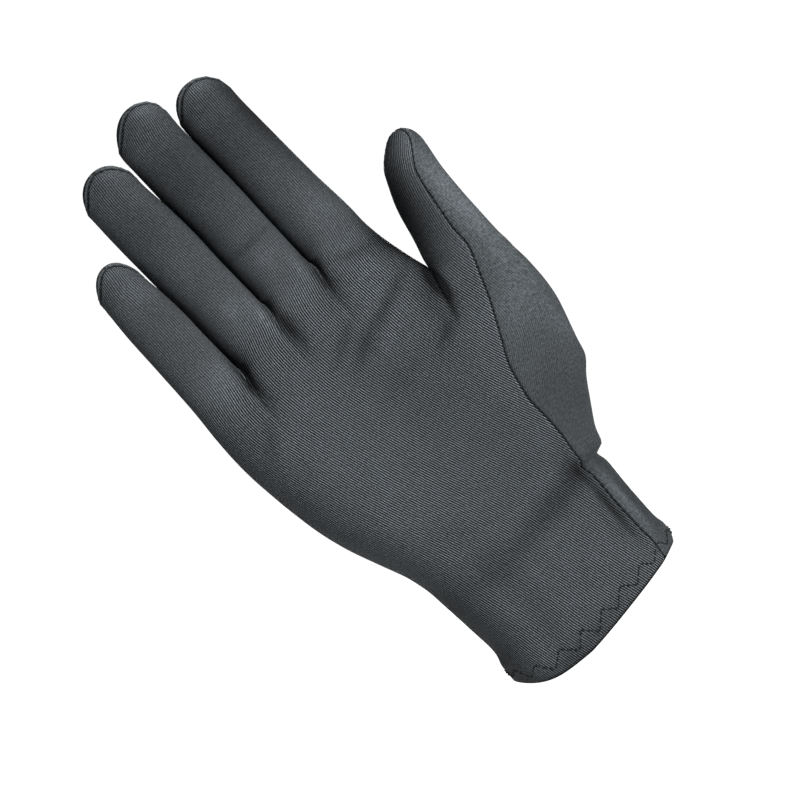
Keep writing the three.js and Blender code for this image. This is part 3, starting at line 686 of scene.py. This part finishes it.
    def slack(self, k, z):
        """How slack the cloth is: 0 on the palm and 1 on the fingers, where its columns of loops close up."""
        height, top = self.own_from[k], self.digit_to[k]
        return smooth(height - 14, height + 8, z) * (1 - 0.5 * smooth(top - 22, top - 8, z))

    def painted_cleft_shade(self, k, from_left, z):
        """Painted shade on the cloth that faces the next digit, in the cleft between them."""
        if k in (0, THUMB):
            return 0 * z
        end = min(self.digit_to[k - 1], self.digit_to[k])
        height = self.heights[k - 1]
        between = smooth(height - 12, height, z) * (1 - smooth(end - 12, end - 1, z))
        return 0.85 * between * np.exp(-(from_left / 5.2) ** 2)

    def cuff(self):
        """The rows of the skin round the cuff as closed rings, with their heights and normals."""
        rows = np.count_nonzero(self.grids[0]["z"] <= HEM_BLEND)
        front = [self.grids[k]["front"][:rows, :-1] for k in range(THUMB + 1)]
        back = [self.grids[k]["back"][:rows, :0:-1] for k in range(THUMB, -1, -1)]
        ids = np.concatenate(front + back, 1)
        return self.points[ids], self.normals()[ids], self.grids[0]["z"][:rows]


def even_rows(low, high):
    steps = max(1, round((high - low) / ROW_SPACING))
    return [mix(low, high, (i + 1) / steps) for i in range(steps)]


def run(points, axis):
    """Length from the first point along a line of points, or along each row or column of a grid."""
    steps = np.linalg.norm(np.diff(points, axis=axis), axis=-1)
    return np.insert(np.cumsum(steps, axis), 0, 0.0, axis)


def place_in(stops, value):
    """The stop below a value, and the value's place between it and the next one, from 0 to 1."""
    i = int(np.clip(np.searchsorted(stops, value, side="right") - 1, 0, len(stops) - 2))
    return i, (value - stops[i]) / (stops[i + 1] - stops[i])


def skin():
    """The skin at the sizes that are set, worked out once for all operators that need it."""
    sizes = bpy.context.scene.glove_sizes
    key = tuple(round(getattr(sizes, name), 6) for name in GloveSizes.__annotations__)
    if key not in skin.kept:
        skin.kept.clear()
        skin.kept[key] = Skin(sizes)
    return skin.kept[key]


skin.kept = {}


# Meshes

def deselect():
    bpy.ops.object.select_all(action="DESELECT")


def make_active(obj):
    deselect()
    obj.select_set(True)
    bpy.context.view_layer.objects.active = obj


def mesh_piece(name, points, loops, measures=None):
    """A piece from points in millimetres and loops of point numbers."""
    polygons = [list(dict.fromkeys(loop)) for loop in loops]
    mesh = bpy.data.meshes.new(name)
    mesh.from_pydata((points * MM).tolist(), [], [polygon for polygon in polygons if len(polygon) > 2])
    for key, values in (measures or {}).items():
        attribute = mesh.attributes.new(key, "FLOAT_VECTOR", "POINT")
        attribute.data.foreach_set("vector", np.asarray(values, np.float32).ravel())
    mesh.update()
    obj = bpy.data.objects.new(name, mesh)
    bpy.context.scene.collection.objects.link(obj)
    make_active(obj)
    bpy.ops.object.shade_smooth()
    return obj


def thicken(obj, thickness):
    """Gives a sheet its thickness on the inner side."""
    make_active(obj)
    wall = obj.modifiers.new("Cloth", "SOLIDIFY")
    wall.thickness = thickness
    wall.offset = -1
    wall.use_rim = True
    bpy.ops.object.modifier_apply(modifier=wall.name)


def finish_piece(obj, material):
    obj.data.materials.clear()
    obj.data.materials.append(material)
    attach(obj, "root")
    return obj


def panel_sheet(side, name, material):
    """The thick sheet of one of the two panels."""
    data = skin().panel(side)
    sheet = mesh_piece(name, data["points"], data["loops"].tolist(),
                       {"cloth": data["cloth"], "seam": data["seam"]})
    thicken(sheet, bpy.context.scene.glove_sizes.cloth_thickness)
    return finish_piece(sheet, material)


# Materials

class Tree:
    """A node tree with short calls for the nodes that the materials need."""

    def __init__(self, owner):
        self.nodes, self.links = owner.nodes, owner.links
        self.nodes.clear()

    def node(self, kind, inputs=None, **settings):
        node = self.nodes.new(kind)
        for key, value in settings.items():
            setattr(node, key, value)
        self.fill(node, inputs or {})
        return node

    def fill(self, node, inputs):
        for name, value in inputs.items():
            self.put(node.inputs[name], value)

    def put(self, socket, value):
        if isinstance(value, bpy.types.NodeSocket):
            self.links.new(value, socket)
        else:
            socket.default_value = value

    def math(self, operation, *values):
        return self.node("ShaderNodeMath", dict(enumerate(values)), operation=operation).outputs[0]

    def times(self, product, *factors):
        for factor in factors:
            product = self.math("MULTIPLY", product, factor)
        return product

    def scaled(self, value, factor, start):
        return self.math("MULTIPLY_ADD", value, factor, start)

    def fade(self, value, low, high, start=0.0, end=1.0):
        inputs = {"Value": value, "From Min": low, "From Max": high, "To Min": start, "To Max": end}
        return self.node("ShaderNodeMapRange", inputs, interpolation_type="SMOOTHSTEP").outputs["Result"]

    def blend(self, factor, a, b):
        return self.node("ShaderNodeMix", {"Factor": factor, 6: a, 7: b}, data_type="RGBA").outputs[2]

    def noise(self, vector, scale, detail=2.0):
        inputs = {"Vector": vector, "Scale": scale, "Detail": detail}
        return self.node("ShaderNodeTexNoise", inputs).outputs[0]

    def split(self, vector):
        return self.node("ShaderNodeSeparateXYZ", {0: vector}).outputs

    def grouped(self, name, make, inputs):
        """The outputs of a node group, which is made when it is first asked for."""
        if name not in bpy.data.node_groups:
            make()
        node = self.node("ShaderNodeGroup", node_tree=bpy.data.node_groups[name])
        self.fill(node, inputs)
        return node.outputs

    def measure(self, name):
        node = self.node("ShaderNodeAttribute", attribute_type="GEOMETRY", attribute_name=name)
        return node.outputs["Vector"]


def new_material(name):
    """A material with its tree, its Principled surface and its output."""
    material = bpy.data.materials.new(name)
    material.use_nodes = True
    tree = Tree(material.node_tree)
    surface = tree.node("ShaderNodeBsdfPrincipled")
    leave = tree.node("ShaderNodeOutputMaterial", {"Surface": surface.outputs[0]})
    return material, tree, surface, leave


def group_tree(name, inputs, outputs):
    """A node group's tree, inputs and results. All sockets but Cloth are single values."""
    group = bpy.data.node_groups.new(name, "ShaderNodeTree")
    for labels, in_out in ((inputs, "INPUT"), (outputs, "OUTPUT")):
        for label in labels:
            kind = "NodeSocketVector" if label == "Cloth" else "NodeSocketFloat"
            group.interface.new_socket(name=label, in_out=in_out, socket_type=kind)
    tree = Tree(group)
    return tree, tree.node("NodeGroupInput").outputs, tree.node("NodeGroupOutput").inputs


def knit_group():
    """Columns of loops: the gaps between them and the height of the loops."""
    tree, given, result = group_tree(
        "Knit loops", ("Cloth", "Spacing", "Course", "Unevenness"), ("Gaps", "Height"))
    across, along, _ = tree.split(given["Cloth"])
    waver = tree.math("SUBTRACT", tree.noise(given["Cloth"], 0.35, 3.0), 0.5)
    across = tree.scaled(waver, given["Unevenness"], tree.math("DIVIDE", across, given["Spacing"]))
    along = tree.math("DIVIDE", along, given["Course"])
    side = tree.math("ABSOLUTE", tree.math("SUBTRACT", tree.math("FRACT", across), 0.5))
    side = tree.times(side, 2.0)
    pulse = tree.math("SINE", tree.times(tree.scaled(side, 0.5, along), 2 * math.pi))
    pulse = tree.scaled(pulse, 0.5, 0.5)
    gaps = tree.times(tree.fade(side, 0.04, 0.52), tree.scaled(pulse, 0.12, 0.88))
    ridge = tree.math("SUBTRACT", 1.0, tree.times(side, side))
    tree.put(result["Gaps"], gaps)
    tree.put(result["Height"], tree.times(ridge, tree.scaled(pulse, 0.3, 0.7)))


def grain_group():
    """The mottled grain of fine yarn, from broad clouds to single fibres, around 1."""
    tree, given, result = group_tree("Yarn grain", ("Cloth", "Clouds", "Speckle"), ("Shade",))
    clouds = tree.math("SUBTRACT", tree.noise(given["Cloth"], 0.09, 3.0), 0.5)
    speckle = tree.math("SUBTRACT", tree.noise(given["Cloth"], 1.25, 2.0), 0.5)
    shade = tree.scaled(clouds, given["Clouds"], 1.0)
    tree.put(result["Shade"], tree.scaled(speckle, given["Speckle"], shade))


def cloth_material(name, colour, contrast, speckle, relief, paling):
    """Fine jersey on the cloth's own measures, with painted shade in the seams' folds, painted highlights on
    their edges and painted glints along them, and the painted light and shade of the folds and clefts.
    """
    found = bpy.data.materials.get(name)
    if found:
        return found
    settings = bpy.context.scene.glove_cloth
    material, tree, surface, _ = new_material(name)
    cloth = tree.measure("cloth")
    # The cloth measure's third value is painted light and shade
    tone = tree.split(cloth)[2]
    away, along, slack = tree.split(tree.measure("seam"))
    knit = tree.grouped("Knit loops", knit_group, {
        "Cloth": cloth, "Spacing": settings.wale_spacing / MM, "Course": settings.course_height / MM,
        "Unevenness": 0.5})
    height = knit["Height"]
    grain = tree.grouped("Yarn grain", grain_group, {"Cloth": cloth, "Clouds": 0.3, "Speckle": speckle})
    gaps = tree.times(knit["Gaps"], tree.scaled(slack, -0.35, 1.0), contrast)
    knitted = tree.blend(gaps, (*colour, 1), (*settings.gap_colour, 1))
    # Painted highlight along the edge of each seam's fold, with painted glints at the stitch pitch
    edge = tree.times(tree.fade(away, 0.1, 0.5), tree.fade(away, 1.5, 0.7))
    painted_glints = tree.math("SINE", tree.scaled(along, 2 * math.pi / SEAM_PITCH, 1.2))
    painted_glints = tree.fade(painted_glints, 0.4, 0.95, 0.06, 0.5)
    # The grain, times the painted highlights on the seams' edges, the painted shade in the seams' folds, the
    # painted light and shade of the folds and clefts, and the darkening of slack cloth
    grain_and_painted_light = tree.times(
        tree.scaled(edge, painted_glints, grain["Shade"]),
        tree.scaled(tree.fade(away, 0.42, 0.1), -0.85, 1.0),
        tree.math("MAXIMUM", tree.math("ADD", tone, 1.0), 0.1),
        tree.scaled(slack, -paling, 1.0))
    shade = tree.node("ShaderNodeVectorMath", {0: knitted, "Scale": grain_and_painted_light}, operation="SCALE")
    pucker = tree.math("SINE", tree.times(along, 2 * math.pi / SEAM_PITCH))
    pucker = tree.times(pucker, tree.fade(away, 2.2, 0.3, 0.0, 0.6))
    bump = tree.node("ShaderNodeBump", {"Strength": relief, "Distance": LOOP_RELIEF,
                                        "Height": tree.math("ADD", height, pucker)})
    tree.fill(surface, {"Base Color": shade.outputs["Vector"], "Roughness": tree.scaled(height, -0.1, 0.7),
                        "Specular IOR Level": 0.18, "Normal": bump.outputs["Normal"]})
    return material


def thread_material():
    found = bpy.data.materials.get("Sewing thread")
    if found:
        return found
    material, tree, surface, _ = new_material("Sewing thread")
    dark = bpy.context.scene.glove_cloth.thread_colour
    pale = [2.4 * part for part in dark]
    twist = tree.noise(tree.node("ShaderNodeTexCoord").outputs["Object"], 2600.0)
    tree.fill(surface, {"Base Color": tree.blend(twist, (*dark, 1), (*pale, 1)),
                        "Roughness": tree.scaled(twist, 0.2, 0.5)})
    return material


def palm_material():
    colour = bpy.context.scene.glove_cloth.palm_colour
    return cloth_material("Palm jersey", colour, contrast=1.0, speckle=1.3, relief=1.0, paling=0.45)


def back_material():
    colour = bpy.context.scene.glove_cloth.back_colour
    return cloth_material("Back jersey", colour, contrast=0.4, speckle=2.0, relief=0.7, paling=0.0)


# Stitches

def stitch_shape(thread):
    """One stitch, 1 long and as thick as the thread: its points and its loops."""
    deselect()
    bpy.ops.mesh.primitive_uv_sphere_add(segments=8, ring_count=6, radius=0.5, location=(0, 0, 0))
    stitch = bpy.context.active_object
    bpy.ops.transform.resize(value=(thread, thread, 1.0))
    bpy.ops.object.transform_apply(location=False, rotation=False, scale=True)
    points = np.array([v.co for v in stitch.data.vertices])
    points[:, 2] = np.sign(points[:, 2]) * 0.5 * np.abs(2 * points[:, 2]) ** 0.8
    loops = [list(face.vertices) for face in stitch.data.polygons]
    mesh = stitch.data
    bpy.data.objects.remove(stitch)
    bpy.data.meshes.remove(mesh)
    return points, loops


def sew(name, stitches, thread):
    """One mesh of all stitches. Each is given by its two ends and the cloth's normal."""
    shape, loops = stitch_shape(thread)
    points, faces = [], []
    for start, end, normal in stitches:
        length = np.linalg.norm(end - start)
        along = (end - start) / length
        beside = np.cross(normal, along)
        beside /= np.linalg.norm(beside)
        up = np.cross(along, beside)
        arch = 0.25 * thread * (1 - (2 * shape[:, 2]) ** 2)
        base = len(points) * len(shape)
        points.append((start + end) / 2 + shape[:, :1] * beside + (shape[:, 1:2] + arch[:, None]) * up
                      + shape[:, 2:3] * length * along)
        faces.extend([[base + i for i in loop] for loop in loops])
    return finish_piece(mesh_piece(name, np.concatenate(points), faces), thread_material())


def along_line(points, normals, pitch, fill, sink):
    """Stitches of an even pitch along a line of points."""
    arc = run(points, 0)

    def at(length, values):
        return np.array([np.interp(length, arc, values[:, axis]) for axis in range(3)])

    stitches = []
    for i in range(int(arc[-1] / pitch)):
        middle = (i + 0.5) * pitch
        normal = at(middle, normals)
        normal /= np.linalg.norm(normal)
        ends = [at(middle + sign * fill * pitch / 2, points) - sink * normal for sign in (-1, 1)]
        if np.linalg.norm(ends[1] - ends[0]) > 0.3 * pitch:
            stitches.append((*ends, normal))
    return stitches


def seam_line(k, on_right, from_height):
    """Points and normals of the seam on one side of digit k."""
    shape = skin()
    grid = shape.grids[k]
    free = grid["free_right"] if on_right else grid["free_left"]
    rows = free & (grid["z"] >= from_height)
    ids = grid["front"][rows, -1 if on_right else 0]
    return shape.points[ids], shape.normals()[ids]


# Operators, one for each piece or group of like pieces

class GLOVE_OT_palm_panel(bpy.types.Operator):
    """Model the smooth knitted panel of the palm and the palm side of the digits"""
    bl_idname = "glove.palm_panel"
    bl_label = "Palm panel"

    def execute(self, context):
        palm = panel_sheet("front", "palm_cloth", palm_material())
        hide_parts("palm_panel")
        return {"FINISHED"}


class GLOVE_OT_back_panel(bpy.types.Operator):
    """Model the panel of the back of the hand, which comes round to the front below the thumb"""
    bl_idname = "glove.back_panel"
    bl_label = "Back panel"

    def execute(self, context):
        back = panel_sheet("back", "back_cloth", back_material())
        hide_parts("back_panel")
        return {"FINISHED"}


class GLOVE_OT_cuff_hem(bpy.types.Operator):
    """Model the turned-in edge of the wrist opening"""
    bl_idname = "glove.cuff_hem"
    bl_label = "Cuff hem"

    def execute(self, context):
        sizes = context.scene.glove_sizes
        height = sizes.hem_height / MM
        rings, normals, z = skin().cuff()
        # Depth inside the cuff's skin, for cloth of 0.7 mm, and height, both in millimetres
        profile = [(-0.02, 0.25), (0.1, -0.2), (0.45, -0.48), (0.95, -0.5), (1.3, -0.22), (1.42, 0.3)]
        profile += [(1.45, level) for level in np.linspace(1.2, height - 0.6, 6)]
        profile += [(1.5, height - 0.2), (1.6, height)]
        deeper = (sizes.cloth_thickness / MM + 0.25) / 0.95
        rows = []
        for depth, level in profile:
            if level < 0:
                base, normal = rings[0] + np.array([0, 0, level]), normals[0]
            else:
                i, t = place_in(z, level)
                base, normal = mix(rings[i], rings[i + 1], t), mix(normals[i], normals[i + 1], t)
            rows.append(base - depth * deeper * normal)
        points = np.concatenate(rows)
        ids = np.arange(len(points)).reshape(len(rows), -1)
        after = np.roll(ids, -1, 1)
        loops = np.stack([ids[:-1], ids[1:], after[1:], after[:-1]], -1).reshape(-1, 4)
        around = np.cumsum(np.linalg.norm(rings[0] - np.roll(rings[0], 1, 0), axis=1))
        cloth = np.concatenate([
            np.stack([around, 0 * around + level, 0 * around], 1) for _, level in profile])
        hem = mesh_piece("hem_cloth", points, loops.tolist(),
                         {"cloth": cloth, "seam": np.full_like(points, 99.0)})
        thicken(hem, 0.5 * sizes.cloth_thickness)
        finish_piece(hem, palm_material())
        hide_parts("cuff_hem")
        return {"FINISHED"}


class GLOVE_OT_seam_stitches(bpy.types.Operator):
    """Sew the seams between the two panels along both sides of all digits"""
    bl_idname = "glove.seam_stitches"
    bl_label = "Seam stitches"

    def execute(self, context):
        settings = context.scene.glove_stitches
        pitch, thread = settings.seam_stitch / MM, settings.thread / MM
        shape = skin()
        for k, digit in enumerate(DIGITS):
            stitches = []
            for on_right in (False, True):
                outer = (k == 0 and not on_right) or (k == THUMB and on_right)
                web = shape.heights[min(k if on_right else max(k - 1, 0), INDEX)]
                points, normals = seam_line(k, on_right, 1.0 if outer else web + 7)
                if not outer or k == 0:
                    top = shape.digit_to[k]
                    buried = 0.24 * (1 - smooth(top - 13, top - 9, points[:, 2]))
                    points = points - buried[:, None] * normals
                stitches += along_line(points, normals, pitch, 0.72, 0.16)
            sew(digit["name"] + "_seam_stitches", stitches, thread)
        return {"FINISHED"}


class GLOVE_OT_hem_zigzag(bpy.types.Operator):
    """Sew the stepped zigzag that holds the turned-in hem"""
    bl_idname = "glove.hem_zigzag"
    bl_label = "Hem zigzag"

    def execute(self, context):
        settings = context.scene.glove_stitches
        rings, normals, z = skin().cuff()
        rings = np.concatenate([rings, rings[:, :1]], 1)
        around = run(rings[2], 0)
        legs = 2 * round(around[-1] / (2 * settings.zigzag_leg / MM))
        turns = np.random.default_rng(7).uniform(-0.45, 0.45, (legs, 2))

        def at(place, level):
            i, t = place_in(z, level)
            j, share = place_in(around, place % around[-1])
            low, high = (mix(rings[row][j], rings[row][j + 1], share) for row in (i, i + 1))
            return mix(low, high, t), normals[i][j]

        corners = []
        for leg in range(legs):
            level = ZIGZAG_FOOT + (settings.zigzag_width / MM if leg % 2 else 0)
            corners.append((around[-1] * leg / legs + turns[leg][0], level + 0.6 * turns[leg][1]))
        corners.append((corners[0][0] + around[-1], corners[0][1]))
        stitches = []
        for (start, low), (end, high) in zip(corners, corners[1:]):
            for step in range(settings.zigzag_steps):
                t0, t1 = ((step + part) / settings.zigzag_steps for part in (0.1, 0.9))
                first, normal = at(mix(start, end, t0), mix(low, high, t0))
                last, _ = at(mix(start, end, t1), mix(low, high, t1))
                stitches.append((first + 0.02 * normal, last + 0.02 * normal, normal))
        sew("hem_zigzag_stitches", stitches, 1.15 * settings.thread / MM)
        return {"FINISHED"}


class GLOVE_OT_stage(bpy.types.Operator):
    """Set the pale floor, the soft studio light and the camera"""
    bl_idname = "glove.stage"
    bl_label = "Floor, light and camera"

    def execute(self, context):
        settings = context.scene.glove_stage
        deselect()
        bpy.ops.mesh.primitive_plane_add(size=settings.floor_size, location=(0, 0, -0.03))
        floor = context.active_object
        floor.name = "floor"
        bpy.ops.object.transform_apply(location=True, rotation=True, scale=True)
        paper, tree, surface, leave = new_material("Pale paper")
        tree.fill(surface, {"Base Color": (*settings.floor_colour, 1), "Roughness": 0.9,
                            "Specular IOR Level": 0.1})
        camera_ray = tree.node("ShaderNodeLightPath").outputs["Is Camera Ray"]
        glow = tree.node("ShaderNodeEmission", {"Strength": 1.2})
        seen = tree.node("ShaderNodeMixShader", {
            0: tree.times(camera_ray, 0.9), 1: surface.outputs[0], 2: glow.outputs[0]})
        tree.put(leave.inputs["Surface"], seen.outputs[0])
        floor.data.materials.append(paper)
        lamps = (
            ("key", (0.9, -1.1, 0.55), 0.6, 15.5),
            ("fill", (-0.7, -1.6, 0.1), 1.0, 5.5),
            ("back", (0.15, 1.7, 0.5), 0.8, 19),
            ("top", (0.3, -0.1, 2.0), 0.8, 4),
        )
        for name, place, size, power in lamps:
            deselect()
            bpy.ops.object.light_add(type="AREA", location=place)
            lamp = context.active_object
            lamp.name = name
            lamp.data.shape = "DISK"
            lamp.data.size = size
            lamp.data.energy = power * settings.light
            aim = Vector((0, 0, 0.11)) - Vector(place)
            lamp.rotation_euler = aim.to_track_quat("-Z", "Y").to_euler()
        world = bpy.data.worlds.new("Studio")
        context.scene.world = world
        world.use_nodes = True
        tree = Tree(world.node_tree)
        camera_ray = tree.node("ShaderNodeLightPath").outputs["Is Camera Ray"]
        glow = tree.node("ShaderNodeBackground", {
            "Color": (1, 1, 1, 1), "Strength": tree.scaled(camera_ray, 1.0, 0.05)})
        tree.node("ShaderNodeOutputWorld", {"Surface": glow.outputs[0]})
        context.scene.view_settings.view_transform = "Standard"
        aim, distance, turn = Vector((-0.0022, 0.0, 0.1054)), 1.511, math.radians(41)
        right = Vector((math.cos(turn), 0, -math.sin(turn)))
        up = Vector((math.sin(turn), 0, math.cos(turn)))
        back = Vector((0, -1, 0))
        deselect()
        bpy.ops.object.camera_add(location=aim + distance * back)
        camera = context.active_object
        camera.name = "camera"
        camera.rotation_euler = Matrix((right, up, back)).transposed().to_euler()
        camera.data.lens = 200
        camera.data.sensor_width = 36
        camera.data.clip_end = 20
        context.scene.camera = camera
        return {"FINISHED"}


OPERATORS = (GLOVE_OT_palm_panel, GLOVE_OT_back_panel, GLOVE_OT_cuff_hem, GLOVE_OT_seam_stitches,
             GLOVE_OT_hem_zigzag, GLOVE_OT_stage)


class GLOVE_PT_pieces(bpy.types.Panel):
    """The pieces of the glove liner, in the order in which they are made"""
    bl_idname = "GLOVE_PT_pieces"
    bl_label = "Glove liner"
    bl_space_type = "VIEW_3D"
    bl_region_type = "UI"
    bl_category = "Glove liner"

    def draw(self, context):
        layout = self.layout
        for group in SETTINGS:
            box = layout.box()
            settings = getattr(context.scene, group)
            for name in settings.__annotations__:
                box.prop(settings, name)
        for operator in OPERATORS:
            layout.operator(operator.bl_idname)


SETTINGS = {"glove_sizes": GloveSizes, "glove_cloth": GloveCloth, "glove_stitches": GloveStitches,
            "glove_stage": GloveStage}
CLASSES = (*SETTINGS.values(), *OPERATORS, GLOVE_PT_pieces)


def register():
    for cls in CLASSES:
        bpy.utils.register_class(cls)
    for name, cls in SETTINGS.items():
        setattr(bpy.types.Scene, name, PointerProperty(type=cls))


def unregister():
    for name in SETTINGS:
        delattr(bpy.types.Scene, name)
    for cls in reversed(CLASSES):
        bpy.utils.unregister_class(cls)


def main():
    register()
    bpy.ops.glove.stage()
    bpy.ops.glove.palm_panel()
    bpy.ops.glove.back_panel()
    bpy.ops.glove.cuff_hem()
    bpy.ops.glove.seam_stitches()
    bpy.ops.glove.hem_zigzag()


if __name__ == "__main__":
    main()
